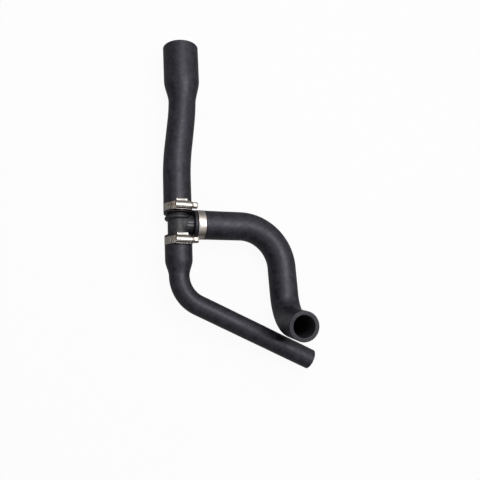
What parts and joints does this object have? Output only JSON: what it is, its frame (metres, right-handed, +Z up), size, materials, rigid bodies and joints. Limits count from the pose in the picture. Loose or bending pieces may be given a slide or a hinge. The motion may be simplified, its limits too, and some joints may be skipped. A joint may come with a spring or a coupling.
{
  "type": "radiator hose",
  "caption": "Moulded rubber coolant hoses joined by a plastic tee and worm-drive clips: one hose flared, one necked down to a thin run, one ending in a raised elbow.",
  "frame": {"origin": "centre of the footprint, on the surface that the set lies on", "axes": "+Y along the tee's straight run towards the flared hose end, +X towards the branch, +Z up"},
  "size_m": [0.1818, 0.4028, 0.0892],
  "materials": {
    "rubber": "matt moulded rubber, faintly mottled",
    "tee_plastic": "semi-gloss moulded plastic",
    "clip_steel": "bright rolled stainless steel",
    "screw_steel": "bright plated steel"
  },
  "bodies": {
    "root": {"upper_hose": "rubber", "lower_hose": "rubber", "branch_hose": "rubber", "tee_piece": "tee_plastic", "upper_band": "clip_steel", "upper_housing": "clip_steel", "lower_band": "clip_steel", "lower_housing": "clip_steel", "branch_band": "clip_steel", "branch_housing": "clip_steel"},
    "upper_worm": {"upper_screw": "screw_steel"},
    "lower_worm": {"lower_screw": "screw_steel"},
    "branch_worm": {"branch_screw": "screw_steel"}
  },
  "joints": [
    {"name": "upper_screw_turn", "type": "hinge", "parent": "root", "child": "upper_worm", "pos_m": [-0.07061, -0.00854, 0.0487], "axis": [-0.9869, 0.0029, 0.1615], "range_deg": [-1890, 0]},
    {"name": "lower_screw_turn", "type": "hinge", "parent": "root", "child": "lower_worm", "pos_m": [-0.07066, -0.04894, 0.04911], "axis": [-0.9869, 0.0029, 0.1615], "range_deg": [-1890, 0]},
    {"name": "branch_screw_turn", "type": "hinge", "parent": "root", "child": "branch_worm", "pos_m": [-0.0492, -0.02792, 0.0043], "axis": [-0.0012, 0.9997, -0.0248], "range_deg": [-1890, 0]}
  ]
}
